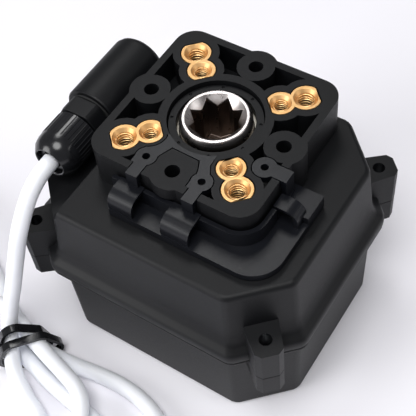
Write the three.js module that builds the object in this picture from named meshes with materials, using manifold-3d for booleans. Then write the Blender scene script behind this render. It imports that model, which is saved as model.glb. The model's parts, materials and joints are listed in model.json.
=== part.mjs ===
// Quarter-turn electric valve actuator, standing on its cover with the valve mounting pad facing up.
// Millimetres, +Z up. The origin is the point where the drive axis meets the outer face of the cover.
// X runs along the long side of the housing and the cable gland points towards -Y.

import * as THREE from 'three';
import { mergeVertices } from 'three/addons/utils/BufferGeometryUtils.js';
import Module from 'manifold-3d';

const wasm = await Module();
wasm.setup();

// ---------------------------------------------------------------- driving dimensions

// general
const GAP = 0.3; // between touching pieces
const WALL = 3; // moulded wall of housing and cover

// overall shape of the case, seen from above: a rectangle with 45 degree corners
const FACE_Z = 72.5; // mounting pad face
const DECK_Z = 60; // top of the housing body
const PARTING_Z = 34.5; // joint between housing and cover
const FLANGE_HALF_X = 45; // half width over the parting flange
const FLANGE_FRONT_Y = -45.7;
const FLANGE_BACK_Y = 31.1;
const FLANGE_CORNER = 15; // leg of the 45 degree corner

// lower ledge under the cable gland
const LEDGE_X = -26;
const LEDGE_Z = 55.3;
const LEDGE_COVE = 2.6;

// screw lugs on the four corners
const LUG_SPAN_X = 37.9;
const LUG_SPAN_Y = 32;
const LUG_TOP_Z = 46.5;
const LUG_BOTTOM_Z = 25.5;
const LUG_REACH = 4.9; // from the screw axis to the outer edge
const LUG_ROOT_WIDTH = 10.2;
const LUG_TIP_WIDTH = 7.4;
const SCREW_R = 1.5;
const SCREW_HEAD_R = 2.7;
const SCREW_HEAD_H = 3;
const SCREW_LENGTH = 12;

// mounting pad with an F03/F04/F05 pattern
const PAD_HALF = 25.7;
const PAD_CORNER_R = 6;
const PAD_RIM = 2.2;
const POCKET_DEPTH = 9;
const F05_R = 25; // half the 50 mm pitch circle, M6
const F03_R = 18; // half the 36 mm pitch circle, M5
const F04_R = 21; // half the 42 mm pitch circle, plain holes
const F04_HOLE_R = 2.1;
const F04_BOSS_R = 5.4;
const F04_LOBE_R = 6.2;
const F04_HOLE_DEPTH = 10;
const M6_CORE_R = 2.5;
const M5_CORE_R = 2.1;
const INSERT_R6 = 4.3;
const INSERT_R5 = 4;
const INSERT_FLAT_IN = 14.9;
const INSERT_FLAT_OUT = 28.5;
const INSERT_LENGTH = 11;
const INSERT_BOSS = 2.4; // plastic left around each insert

// output drive with a double-square socket
const SQUARE = 11; // across flats
const DRIVE_CLOCKING = 6; // degrees, where the drive stands at rest
const DRIVE_R = 10.1;
const DRIVE_TOP_Z = FACE_Z + 0.4;
const DRIVE_RIM_R = 9.2;
const DRIVE_CONE_R = 8.4;
const SOCKET_DEPTH = 16;
const SOCKET_RELIEF_R = 4.6; // blind bore below the socket
const SOCKET_RELIEF = 9;
const DRIVE_FLANGE_R = 12;
const DRIVE_FLANGE_Z = 53.4;
const DRIVE_STUB_R = 5;
const RING_R = 13;
const RING_BORE_R = 10.9;
const RING_TOP_Z = FACE_Z - 1.5;
const RING_THICKNESS = 2.6;
const BUSH_R = 12.4;

// gear train: three spur stages between the motor and the output gear
const OUTPUT_MODULE = 1;
const OUTPUT_TEETH = 44;
const FAST_MODULE = 0.8;
const WHEEL_TEETH = 30;
const PINION_TEETH = 10;
const OUTPUT_GEAR_Z = 44;
const OUTPUT_GEAR_H = 6.5;
const SECOND_WHEEL_Z = 38;
const FIRST_WHEEL_Z = 32;
const WHEEL_H = 4;
const OVERRIDE_ANGLE = -111.7; // degrees round the drive axis to the override shaft
const IDLER_ANGLE = 0; // degrees round the override shaft to the idler
const MOTOR_ANGLE = 29; // degrees round the idler to the motor
const PLATE_Z = 28;
const PLATE_H = 2;
const ARBOR_R = 1.5;
const OVERRIDE_SHAFT_R = 3;
const OVERRIDE_HEX = 4; // across flats, for the hexagon key
const MOTOR_R = 12;
const MOTOR_BOTTOM_Z = 6;
const MOTOR_SHAFT_R = 1;

// limit switches, cams, indicator and board
const CAM_R = 7;
const CAM_LOBE_R = 8.6;
const CAM_H = 4;
const CAM_1_Z = 14.5;
const CAM_2_Z = 20;
const SWITCH_L = 12.8;
const SWITCH_Y = 1.5; // centre of both switches along Y
const SWITCH_W = 6.4;
const SWITCH_H = 4.6;
const LEVER_T = 0.4;
const BOARD_Z = 25.2;
const BOARD_T = 1.6;
const BOARD_BORE_R = 11;
const INDICATOR_R = 8.8;
const INDICATOR_T = 1.2;
const INDICATOR_Z = 3.4;
const WINDOW_R = 11.2;
const WINDOW_T = 1.7;
const WINDOW_OPENING_R = 9.4;
const PLUG_R = 4.2;

// cable entry barrel and M12 gland, on one axis along Y
const BARREL_X = -36;
const BARREL_Z = 63.5;
const BARREL_R = 8.7;
const BARREL_FRONT_Y = -9.8;
const BARREL_BACK_Y = 15.5;
const GLAND_BORE_R = 5.9;
const GLAND_HEX = 14; // across flats
const GLAND_HEX_L = 5.6;
const GLAND_NUT_R = 7;
const GLAND_NUT_L = 8;
const GLAND_MOUTH_Y = -29.9;
const GLAND_MOUTH_R = 4.3;

// supply lead
const LEAD_R = 2.5;
const COIL_X = -96.3;
const COIL_Y = -54.1;
const COIL_R = 25;
const COIL_TURNS_HIGH = 2;

// key holder: yoke and straps let into the pad, plate and walls on the deck in front of it
const HOLDER_FLUSH = 2; // thickness of the yoke and straps let into the pad
const HOLDER_PLATE_T = 2.2;
const HOLDER_STRAP_T = 1.4;
const HOLDER_WALL_T = 1.3;
const HOLDER_INSERT_GAP = 1.3; // plastic of the pad between the yoke and a thread insert
const KEY_SLOT = 4.6; // width and height of the channel for the key
const HOLDER_FRONT_Y = -34;
const HOLDER_RIGHT_X = 35.2;
const HOLDER_LEFT_X = -14.2;
const HOLDER_REAR_Y = -4;
const STRAPS = [
  { x: -8.8, y: -20.2 },
  { x: 8.5, y: -20.2 },
];
const SIDE_STRAP = { x: 20.1, y: -8.3 };
const STRAP_W = 3.5;
const COLLAR_R = 3;

// depth of the recess under each fixing lobe
const LOBE_DEPTH = 4;

// supply lead: centre lines of its two plain stretches
const LEAD_START_Y = GLAND_MOUTH_Y + 1; // just inside the mouth of the gland

// chosen route from the gland to the coil: down to the tie, round the outer loop and back through the tie
const LEAD_OUT = [
  [-36, LEAD_START_Y, 63.5], [-36, -31, 63.4], [-36.3, -35, 62.3], [-36.6, -40, 59], [-36.9, -46.7, 50.8],
  [-38.4, -50.5, 40], [-39.7, -54.1, 29.5], [-41.2, -57.2, 19.8], [-40.6, -60.6, 13.6], [-38.7, -63.4, 10.9],
  [-36.5, -66.6, 8], [-33.2, -69.8, 5.2], [-27.5, -73, 3], [-19.8, -76.5, 2.6], [-13.8, -83, 2.6],
  [-10.8, -91.5, 2.6], [-4.5, -98.5, 2.6], [5, -101, 2.6], [16, -99, 2.6], [25, -92.5, 2.6],
  [28.5, -82.5, 2.6], [26, -72, 2.6], [18.8, -63.6, 2.6], [9.9, -58.2, 2.6], [2.2, -55.8, 2.6],
  [-5, -55.2, 2.6], [-12.1, -55.8, 2.6], [-20, -56.9, 2.6], [-27.5, -57.8, 3.4], [-35, -57.8, 4.1],
  [-41, -56.4, 4.1], [-47, -53.6, 3.6], [-54, -50, 2.9], [-61, -45.8, 2.6], [-68.6, -41.1, 2.6],
];

// chosen route from the coil to the free end: through the tie, round the inner loop and back over the tie
const LEAD_BACK = [
  [-70.2, -70.6, 7.4], [-63, -67.7, 6.4], [-55.5, -64.8, 5.2], [-48, -62.6, 4.2], [-43, -62.1, 4.1],
  [-38.1, -62.4, 4.1], [-33, -63.5, 4.1], [-27, -64.9, 2.9], [-19.3, -66.3, 2.6], [-11, -67.6, 2.6],
  [-3, -69, 2.6], [5, -71.4, 2.6], [12, -75.6, 2.6], [16, -82, 2.6], [14, -89.4, 2.6],
  [7.4, -93.6, 2.6], [0, -92.6, 2.6], [-4.4, -88, 2.6], [-5.4, -83, 2.7], [-5.7, -78.4, 3.7],
  [-6.3, -74.4, 5.6], [-7.4, -70.6, 7.6], [-9.8, -67, 8.5], [-13.8, -64.4, 8.6], [-20, -62.4, 8.6],
  [-27, -60.6, 9.1], [-35.5, -58.2, 9.5], [-42, -55.9, 9.6], [-48.3, -54.4, 9.3], [-53, -54.2, 8.9],
];

// bared ends of the lead
const CORE_R = 0.9;
const CORES = [
  [[-53.4, -55.1, 9.5], [-58.8, -56.2, 9.2], [-65.5, -58.6, 8.2]],
  [[-53.4, -53.2, 9.5], [-58.8, -52.6, 9.2], [-65.3, -50.4, 8.2]],
  [[-53.4, -54.2, 7.8], [-58.8, -54.3, 7.3], [-65.2, -54.6, 6]],
];

// centres of the strands where each turn of the tie passes round them: across the bundle, and up
const TIE_X = -38;
const TIE_Y = -62;
const TIE_TURN = 55; // degrees, the direction across the bundle
const TIE_BAND = 2.4;
const TIE_WIRE = 1;
const TIE_SLACK = 0.5;
const TIE_REAR = [[0, 13.9], [-2, 10], [-1.2, 4.1], [6.3, 4.1], [4.2, 9.6], [5, 9.4]];
const TIE_FRONT = [[-1.7, 10.5], [-3.2, 7.6], [0.2, 4.1], [8.9, 4.1], [5.2, 9.4], [6, 9.3]];
const TIE_REAR_N = -1.3;
const TIE_FRONT_N = 1.7;

// ---------------------------------------------------------------- finishes

function finish(color, roughness, metalness = 0) {
  return new THREE.MeshStandardMaterial({ color, roughness, metalness });
}

const blackHousing = finish(0x2a2a2c, 0.55);
const slateHolder = finish(0x35343a, 0.45);
const glossBlack = finish(0x17181b, 0.2);
const rubberBlack = finish(0x1c1c1d, 0.85);
const brass = finish(0xe0b070, 0.35, 1);
const steel = finish(0xcac4c2, 0.3, 1);
const zincSteel = finish(0xb8bcc2, 0.35, 1);
const whitePvc = finish(0xeef0f5, 0.45);
const naturalNylon = finish(0xe8e2d2, 0.5);
const yellowAcetal = finish(0xe3b51f, 0.45);
const clearPlastic = finish(0xd8e4ea, 0.1);
const boardGreen = finish(0x1f5a3a, 0.5);
const terminalGreen = finish(0x2f8f4a, 0.5);
const blueSleeve = finish(0x23355f, 0.35);

const group = new THREE.Group();

// ---------------------------------------------------------------- solids

function toSolid(geometry) {
  const bare = geometry.clone();
  bare.deleteAttribute('normal');
  bare.deleteAttribute('uv');
  const merged = mergeVertices(bare, 1e-4);
  const index = merged.index.array;
  const kept = [];
  for (let i = 0; i < index.length; i += 3) {
    const [a, b, c] = [index[i], index[i + 1], index[i + 2]];
    if (a !== b && b !== c && c !== a) kept.push(a, b, c);
  }
  const mesh = new wasm.Mesh({
    numProp: 3,
    vertProperties: new Float32Array(merged.attributes.position.array),
    triVerts: new Uint32Array(kept),
  });
  return new wasm.Manifold(mesh);
}

function toGeometry(solid) {
  const mesh = solid.getMesh();
  const geometry = new THREE.BufferGeometry();
  geometry.setAttribute('position', new THREE.Float32BufferAttribute(mesh.vertProperties, 3));
  geometry.setIndex(new THREE.Uint32BufferAttribute(mesh.triVerts, 1));
  geometry.computeVertexNormals();
  return geometry;
}

function add(name, solid, material) {
  const mesh = new THREE.Mesh(toGeometry(solid), material);
  mesh.name = name;
  group.add(mesh);
  return mesh;
}

function union(...solids) {
  return solids.reduce((all, next) => all.add(next));
}

function cut(from, ...tools) {
  return tools.reduce((left, tool) => left.subtract(tool), from);
}

function moved(solid, x, y, z = 0) {
  return solid.translate([x, y, z]);
}

// flat outline pushed up from z0 to z1
function prism(shape, z0, z1, segments = 6) {
  const options = { depth: z1 - z0, bevelEnabled: false, curveSegments: segments };
  const geometry = new THREE.ExtrudeGeometry(shape, options);
  geometry.translate(0, 0, z0);
  return toSolid(geometry);
}

function polygon(points) {
  return new THREE.Shape(points.map(([x, y]) => new THREE.Vector2(x, y)));
}

function circle(x, y, r) {
  const shape = new THREE.Shape();
  shape.absarc(x, y, r, 0, Math.PI * 2, false);
  return shape;
}

// upright round post or hole
function post(x, y, r, z0, z1, sides = 24) {
  const geometry = new THREE.CylinderGeometry(r, r, z1 - z0, sides);
  geometry.rotateX(Math.PI / 2);
  geometry.translate(x, y, (z0 + z1) / 2);
  return toSolid(geometry);
}

// round bar or bore along Y
function barY(x, z, r, y0, y1, sides = 32) {
  const geometry = new THREE.CylinderGeometry(r, r, y1 - y0, sides);
  geometry.translate(x, (y0 + y1) / 2, z);
  return toSolid(geometry);
}

function block(x0, x1, y0, y1, z0, z1) {
  const geometry = new THREE.BoxGeometry(x1 - x0, y1 - y0, z1 - z0);
  geometry.translate((x0 + x1) / 2, (y0 + y1) / 2, (z0 + z1) / 2);
  return toSolid(geometry);
}

// profile of [radius, height] pairs turned round Z
function turned(profile, sides = 32) {
  const points = profile.map(([r, z]) => new THREE.Vector2(r, z));
  const geometry = new THREE.LatheGeometry(points, sides);
  geometry.rotateX(Math.PI / 2);
  return toSolid(geometry);
}

// the same profile turned round an axis along Y, with the height pointing to -Y
function turnedY(profile, sides = 32) {
  const points = profile.map(([r, y]) => new THREE.Vector2(r, y));
  const geometry = new THREE.LatheGeometry(points, sides);
  return toSolid(geometry);
}

function roundedBox(x0, x1, y0, y1, r) {
  const shape = new THREE.Shape();
  shape.absarc(x1 - r, y1 - r, r, 0, Math.PI / 2, false);
  shape.absarc(x0 + r, y1 - r, r, Math.PI / 2, Math.PI, false);
  shape.absarc(x0 + r, y0 + r, r, Math.PI, Math.PI * 1.5, false);
  shape.absarc(x1 - r, y0 + r, r, Math.PI * 1.5, Math.PI * 2, false);
  shape.closePath();
  return shape;
}

function radians(degrees) {
  return (degrees * Math.PI) / 180;
}

function polar(r, degrees, x = 0, y = 0) {
  return [x + r * Math.cos(radians(degrees)), y + r * Math.sin(radians(degrees))];
}

// stack of horizontal outlines with equal point counts joined into one closed body
function loft(sections) {
  const rows = sections.map((s) => s.points.map(([x, y]) => [x, y, s.z]));
  const count = rows[0].length;
  const positions = rows.flat(2);
  const index = [];
  for (let k = 0; k < rows.length - 1; k++) {
    for (let i = 0; i < count; i++) {
      const j = (i + 1) % count;
      const [a, b, c, d] = [k * count + i, k * count + j, (k + 1) * count + j, (k + 1) * count + i];
      index.push(a, b, c, a, c, d);
    }
  }
  const outline = rows[0].map(([x, y]) => new THREE.Vector2(x, y));
  const cap = THREE.ShapeUtils.triangulateShape(outline, []);
  const top = (rows.length - 1) * count;
  for (const [a, b, c] of cap) {
    index.push(a, c, b);
    index.push(top + a, top + b, top + c);
  }
  const geometry = new THREE.BufferGeometry();
  geometry.setAttribute('position', new THREE.Float32BufferAttribute(positions, 3));
  geometry.setIndex(index);
  return toSolid(geometry);
}

// outline of the case at a given inset from the parting flange, with softly rounded corners
function caseOutline(inset, radius = 3) {
  const x = FLANGE_HALF_X - inset;
  const front = FLANGE_FRONT_Y + inset;
  const back = FLANGE_BACK_Y - inset;
  const leg = FLANGE_CORNER - 0.4 * inset;
  const corners = [
    [x - leg, front], [x, front + leg], [x, back - leg], [x - leg, back],
    [-x + leg, back], [-x, back - leg], [-x, front + leg], [-x + leg, front],
  ];
  const trim = radius * Math.tan(radians(22.5));
  const points = [];
  corners.forEach((corner, i) => {
    const before = corners[(i + 7) % 8];
    const after = corners[(i + 1) % 8];
    const arc = [before, after].map((other) => {
      const length = Math.hypot(other[0] - corner[0], other[1] - corner[1]);
      return corner.map((value, axis) => value + ((other[axis] - value) * trim) / length);
    });
    const middle = corner.map((value, axis) => 0.3 * value + 0.35 * (arc[0][axis] + arc[1][axis]));
    points.push(arc[0], middle, arc[1]);
  });
  return points;
}

function caseLoft(levels) {
  return loft(levels.map(([z, inset]) => ({ z, points: caseOutline(inset) })));
}

// ---------------------------------------------------------------- positions shared by several pieces

const lugCentreY = (FLANGE_FRONT_Y + FLANGE_BACK_Y) / 2;
const lugs = [[1, -1], [1, 1], [-1, 1], [-1, -1]].map(([sx, sy]) => ({
  x: sx * LUG_SPAN_X,
  y: lugCentreY + sy * LUG_SPAN_Y,
  turn: Math.atan2(sy, sx),
}));

const outputPitch = (OUTPUT_MODULE * (OUTPUT_TEETH + PINION_TEETH)) / 2;
const fastPitch = (FAST_MODULE * (WHEEL_TEETH + PINION_TEETH)) / 2;
const overrideAt = polar(outputPitch, OVERRIDE_ANGLE);
const idlerAt = polar(fastPitch, IDLER_ANGLE, ...overrideAt);
const motorAt = polar(fastPitch, MOTOR_ANGLE, ...idlerAt);
const ceilingZ = DECK_Z - WALL;
const ledgeCeilingZ = LEDGE_Z - WALL;
const posts = [[31.5, -28.5], [31, 14], [-31, 14], [-31, -29]];
const insertAngles = [45, 135, 225, 315];
const f04Angles = [0, 90, 180, 270];

// ---------------------------------------------------------------- housing

// outline of one double brass insert, grown by a margin
function insertOutline(margin, z0, z1, sides = 24) {
  const pair = union(
    post(F05_R, 0, INSERT_R6 + margin, z0, z1, sides),
    post(F03_R, 0, INSERT_R5 + margin, z0, z1, sides),
  );
  const inner = INSERT_FLAT_IN - margin;
  const outer = INSERT_FLAT_OUT + margin;
  return pair.intersect(block(inner, outer, -20, 20, z0, z1));
}

function padPocketSolid() {
  const z0 = FACE_Z - POCKET_DEPTH;
  const z1 = FACE_Z + 1;
  const inner = PAD_HALF - PAD_RIM;
  let pocket = prism(roundedBox(-inner, inner, -inner, inner, PAD_CORNER_R - PAD_RIM), z0, z1, 3);
  pocket = cut(pocket, post(0, 0, RING_R + PAD_RIM + 0.6, z0 - 1, z1 + 1, 40));
  for (const a of f04Angles) {
    const [x, y] = polar(F04_R, a);
    pocket = cut(pocket, post(x, y, F04_BOSS_R, z0 - 1, z1 + 1, 20));
    const [wx, wy] = polar(PAD_HALF, a);
    pocket = cut(pocket, post(wx, wy, F04_BOSS_R, z0 - 1, z1 + 1, 20));
  }
  for (const a of insertAngles) {
    pocket = cut(pocket, insertOutline(INSERT_BOSS, z0 - 1, z1 + 1, 20).rotate([0, 0, a]));
    const [x, y] = polar(PAD_HALF * Math.SQRT2, a);
    pocket = cut(pocket, post(x, y, 9, z0 - 1, z1 + 1, 12));
  }
  // the pad stays whole between the straps of the key holder
  pocket = cut(pocket, block(STRAPS[0].x, STRAPS[1].x, -PAD_HALF, 0, z0 - 1, z1 + 1));
  return pocket;
}

function padBlock() {
  const corner = roundedBox(-PAD_HALF, PAD_HALF, -PAD_HALF, PAD_HALF, PAD_CORNER_R);
  let pad = prism(corner, DECK_Z - 1, FACE_Z, 5);
  for (const a of f04Angles) {
    const [x, y] = polar(F04_R, a);
    const front = a === 270;
    pad = pad.add(post(x, y, F04_LOBE_R, front ? FACE_Z - LOBE_DEPTH : DECK_Z - 1, FACE_Z, 28));
  }
  return pad;
}

// lug standing out from a 45 degree corner of the case
function lugBlock(lug, z0, z1) {
  const root = LUG_ROOT_WIDTH / 2;
  const tip = LUG_TIP_WIDTH / 2;
  const soft = 1.4;
  const outline = polygon([
    [-8, -root], [LUG_REACH - soft, -tip - 0.2], [LUG_REACH, -tip + soft],
    [LUG_REACH, tip - soft], [LUG_REACH - soft, tip + 0.2], [-8, root],
  ]);
  const turned45 = prism(outline, z0, z1).rotate([0, 0, (lug.turn * 180) / Math.PI]);
  return moved(turned45, lug.x, lug.y);
}

function ledgeCut() {
  const far = -60;
  const base = LEDGE_X - LEDGE_COVE - 0.6;
  const profile = new THREE.Shape();
  profile.moveTo(LEDGE_X, DECK_Z + 1);
  profile.lineTo(LEDGE_X - 0.6, LEDGE_Z + LEDGE_COVE);
  profile.absarc(base, LEDGE_Z + LEDGE_COVE, LEDGE_COVE, 0, -Math.PI / 2, true);
  profile.lineTo(far, LEDGE_Z);
  profile.lineTo(far, DECK_Z + 1);
  profile.closePath();
  const options = { depth: 120, bevelEnabled: false, curveSegments: 4 };
  const geometry = new THREE.ExtrudeGeometry(profile, options);
  geometry.rotateX(Math.PI / 2);
  geometry.translate(0, 60, 0);
  return toSolid(geometry);
}

function barrelSolid() {
  const back = BARREL_BACK_Y;
  const profile = [
    [0, BARREL_FRONT_Y], [BARREL_R - 0.4, BARREL_FRONT_Y], [BARREL_R, BARREL_FRONT_Y + 0.5],
    [BARREL_R, back - 2.4], [BARREL_R - 0.5, back - 1.1], [BARREL_R - 1.4, back - 0.3],
    [BARREL_R - 2.6, back], [0, back],
  ];
  return moved(turnedY(profile, 40), BARREL_X, 0, BARREL_Z);
}

function housing() {
  let shell = caseLoft([
    [PARTING_Z, 0.3], [PARTING_Z + 0.8, 0], [PARTING_Z + 3, 0], [PARTING_Z + 4, 0.6],
    [PARTING_Z + 4.7, 1.8], [PARTING_Z + 6.2, 2.7], [PARTING_Z + 8.5, 3.2], [PARTING_Z + 12, 3.5],
    [DECK_Z - 1.9, 4.5], [DECK_Z - 0.9, 4.9], [DECK_Z, 6],
  ]);
  shell = shell.subtract(ledgeCut());
  shell = shell.add(barrelSolid());
  shell = shell.add(padBlock());
  for (const lug of lugs) {
    shell = shell.add(lugBlock(lug, PARTING_Z, LUG_TOP_Z));
  }

  // inside
  let cavity = caseLoft([[PARTING_Z - 1, 6.2], [PARTING_Z + 9.5, 6.4], [ceilingZ, 7.6]]);
  cavity = cavity.subtract(block(-60, LEDGE_X + WALL, -60, 60, ledgeCeilingZ, DECK_Z));
  for (const [x, y] of posts) {
    cavity = cavity.subtract(post(x, y, 3.6, PLATE_Z + PLATE_H + GAP, DECK_Z, 16));
  }
  const [ix, iy] = idlerAt;
  cavity = cavity.subtract(post(ix, iy, 3.4, OUTPUT_GEAR_Z + OUTPUT_GEAR_H + 1, DECK_Z, 16));
  const [ox, oy] = overrideAt;
  cavity = cavity.subtract(post(ox, oy, 5, OUTPUT_GEAR_Z + OUTPUT_GEAR_H + 1.8, DECK_Z, 20));
  shell = shell.subtract(cavity);

  // drive bore, ring seat and bolt pattern
  shell = cut(
    shell,
    post(0, 0, BUSH_R + GAP, DRIVE_FLANGE_Z, RING_TOP_Z - RING_THICKNESS - GAP, 36),
    post(0, 0, DRIVE_R + 1.2, DRIVE_FLANGE_Z, FACE_Z + 1, 36),
    post(0, 0, RING_R + GAP, RING_TOP_Z - RING_THICKNESS - GAP, FACE_Z + 1, 48),
    padPocketSolid(),
  );
  for (const a of insertAngles) {
    const seat = insertOutline(GAP, FACE_Z - INSERT_LENGTH - GAP, FACE_Z + 1);
    shell = shell.subtract(seat.rotate([0, 0, a]));
  }
  for (const a of f04Angles) {
    const [x, y] = polar(F04_R, a);
    shell = shell.subtract(post(x, y, F04_HOLE_R, FACE_Z - F04_HOLE_DEPTH, FACE_Z + 1, 20));
  }

  // lug bores, arbor seats, plate screw pilots
  for (const lug of lugs) {
    shell = shell.subtract(post(lug.x, lug.y, SCREW_R + GAP, PARTING_Z - 1, LUG_TOP_Z + 1, 16));
  }
  shell = shell.subtract(post(ix, iy, ARBOR_R + GAP, PARTING_Z, ceilingZ, 16));
  shell = shell.subtract(post(ox, oy, OVERRIDE_SHAFT_R + GAP, PARTING_Z, ceilingZ, 20));
  for (const [x, y] of posts) {
    shell = shell.subtract(post(x, y, 1.2 + GAP, PLATE_Z, PLATE_Z + PLATE_H + 9, 12));
  }

  // cable entry: threaded bore, then a way down into the case
  shell = cut(
    shell,
    barY(BARREL_X, BARREL_Z, GLAND_BORE_R, BARREL_FRONT_Y - 1, BARREL_FRONT_Y + 20, 24),
    block(BARREL_X - 2.6, BARREL_X + 3, 0, BARREL_FRONT_Y + 20, ledgeCeilingZ - 1, BARREL_Z),
  );

  // room for the key holder: flush yoke and straps
  shell = shell.subtract(holderFlush(GAP, FACE_Z - HOLDER_FLUSH - GAP, FACE_Z + 1));
  return shell;
}

// ---------------------------------------------------------------- key holder

const holderInner = PAD_HALF + 0.7;
const holderWall = holderInner + HOLDER_WALL_T;
const channelFloorZ = DECK_Z + GAP + HOLDER_PLATE_T;
const archTopZ = channelFloorZ + KEY_SLOT + 0.9;
const strapEdge = PAD_HALF + GAP + HOLDER_STRAP_T;

// the parts of the holder that lie flush in the pad face, grown by a margin
function holderFlush(margin, z0, z1) {
  const half = STRAP_W / 2 + margin;
  let flush = polygonPrism([
    [-11 - margin, -18.4], [-9.4, -12.6], [-7.6, -11], [7.4, -11], [7.6 + margin, -14.8],
    [9.2 + margin, -17.4], [9.2, -19.6], [6.4 - margin, -19.6], [5.6 - margin, -17.2],
    [4.4 - margin, -14.6 - margin], [-4.4 + margin, -14.4 - margin], [-5.9 + margin, -18.2],
    [-6.4 + margin, -20], [-10.6 - margin, -20.2],
  ], z0, z1);
  flush = flush.subtract(post(0, 0, RING_R - margin + GAP, z0 - 1, z1 + 1, 48));
  for (const strap of STRAPS) {
    flush = flush.add(post(strap.x, strap.y, COLLAR_R + margin, z0, z1, 20));
    const left = strap.x - half;
    const right = strap.x + half;
    flush = flush.add(block(left, right, -strapEdge, strap.y, z0, z1));
    flush = flush.add(block(left - 1, right, strap.y - 3.2, strap.y, z0, z1));
  }
  for (const a of [225, 315]) {
    flush = flush.subtract(insertOutline(HOLDER_INSERT_GAP - margin, z0 - 1, z1 + 1).rotate([0, 0, a]));
  }
  const side = SIDE_STRAP;
  flush = flush.add(post(side.x, side.y, COLLAR_R + 0.3 + margin, z0, z1, 20));
  flush = flush.add(block(side.x, strapEdge, side.y - half, side.y + half + 0.6, z0, z1));
  return flush;
}

function polygonPrism(points, z0, z1) {
  return prism(polygon(points), z0, z1);
}

// cross-section of one arch over the key, from the inner wall round to the outer edge
function archSolid(width) {
  const outer = -HOLDER_FRONT_Y - 0.4;
  const profile = new THREE.Shape();
  const roundR = 3.6;
  profile.moveTo(holderInner, DECK_Z + GAP);
  profile.lineTo(outer, DECK_Z + GAP);
  profile.lineTo(outer, archTopZ - roundR);
  profile.absarc(outer - roundR, archTopZ - roundR, roundR, 0, Math.PI / 2, false);
  profile.lineTo(holderInner, archTopZ);
  profile.closePath();
  const options = { depth: width, bevelEnabled: false, curveSegments: 6 };
  const geometry = new THREE.ExtrudeGeometry(profile, options);
  geometry.rotateX(Math.PI / 2);
  return toSolid(geometry);
}

function holderOutline(margin) {
  const shape = new THREE.Shape();
  const corner = 9;
  const right = HOLDER_RIGHT_X - margin;
  const front = HOLDER_FRONT_Y + margin;
  shape.moveTo(HOLDER_LEFT_X, -holderInner);
  shape.lineTo(HOLDER_LEFT_X, front + 1.2);
  shape.lineTo(HOLDER_LEFT_X + 1.2, front);
  shape.lineTo(right - corner, front);
  shape.absarc(right - corner, front + corner, corner, -Math.PI / 2, 0, false);
  shape.lineTo(right, HOLDER_REAR_Y - 1.6);
  shape.absarc(right - 1.6, HOLDER_REAR_Y - 1.6, 1.6, 0, Math.PI / 2, false);
  shape.lineTo(holderInner, HOLDER_REAR_Y);
  shape.lineTo(holderInner, -holderInner + PAD_CORNER_R + 0.7);
  const centre = holderInner - PAD_CORNER_R - 0.7;
  shape.absarc(centre, -centre, PAD_CORNER_R + 0.7, 0, -Math.PI / 2, true);
  shape.closePath();
  return shape;
}

function holderWallSolid() {
  const r = PAD_CORNER_R + 0.7;
  const c = holderInner - r;
  const shape = new THREE.Shape();
  shape.moveTo(HOLDER_LEFT_X - 1.4, -holderInner);
  shape.lineTo(HOLDER_LEFT_X - 1.4, -holderWall);
  shape.lineTo(c, -holderWall);
  shape.absarc(c, -c, r + HOLDER_WALL_T, -Math.PI / 2, 0, false);
  shape.lineTo(holderWall, -15.4);
  shape.lineTo(holderInner, -15.4);
  shape.lineTo(holderInner, -c);
  shape.absarc(c, -c, r, 0, -Math.PI / 2, true);
  shape.closePath();
  return prism(shape, DECK_Z + GAP, archTopZ - 0.4, 5);
}

function keyHolder() {
  const base = DECK_Z + GAP;
  let holder = prism(holderOutline(0), base, base + HOLDER_PLATE_T, 6);
  holder = holder.add(holderWallSolid());
  holder = holder.add(holderFlush(0, FACE_Z - HOLDER_FLUSH, FACE_Z));

  // straps run down outside the pad to the inner wall
  for (const strap of STRAPS) {
    const left = strap.x - STRAP_W / 2;
    const right = strap.x + STRAP_W / 2;
    const inside = -PAD_HALF - GAP;
    holder = holder.add(block(left, right, -strapEdge, inside, archTopZ - 1, FACE_Z));
    holder = holder.add(block(left, right, -holderWall, inside, archTopZ - 3, archTopZ));
  }
  const side = SIDE_STRAP;
  const low = side.y - STRAP_W / 2;
  const high = side.y + STRAP_W / 2 + 0.6;
  holder = holder.add(block(PAD_HALF + GAP, strapEdge, low, high, base, FACE_Z));
  holder = holder.add(block(PAD_HALF + GAP, holderWall, low, high, base, channelFloorZ + 3));

  // two arches in front, one arch and a squared block on the right
  const knuckles = [[-13.2, 7.6], [3.5, 8.5]];
  for (const [x, width] of knuckles) {
    holder = holder.add(archSolid(width).rotate([0, 0, -90]).translate([x + width, 0, 0]));
  }
  holder = holder.add(archSolid(4.6).translate([0, -10.4, 0]));
  holder = holder.add(block(holderInner, HOLDER_RIGHT_X, -12.4, HOLDER_REAR_Y, base, channelFloorZ + 2.4));

  // the key channel runs through all of them
  const mid = holderWall + 0.1;
  const front = block(HOLDER_LEFT_X - 3, 24, -mid - KEY_SLOT, -mid, channelFloorZ, channelFloorZ + KEY_SLOT);
  const right = block(mid, mid + KEY_SLOT, -24, -10.2, channelFloorZ, channelFloorZ + KEY_SLOT);
  holder = cut(holder, front, right);
  for (const strap of STRAPS) {
    holder = holder.subtract(post(strap.x, strap.y, 1.1, FACE_Z - 6, FACE_Z + 1, 16));
  }
  holder = holder.subtract(post(side.x, side.y, 1.1, FACE_Z - 6, FACE_Z + 1, 16));
  return holder;
}

// ---------------------------------------------------------------- cover, gasket and screws

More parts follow.
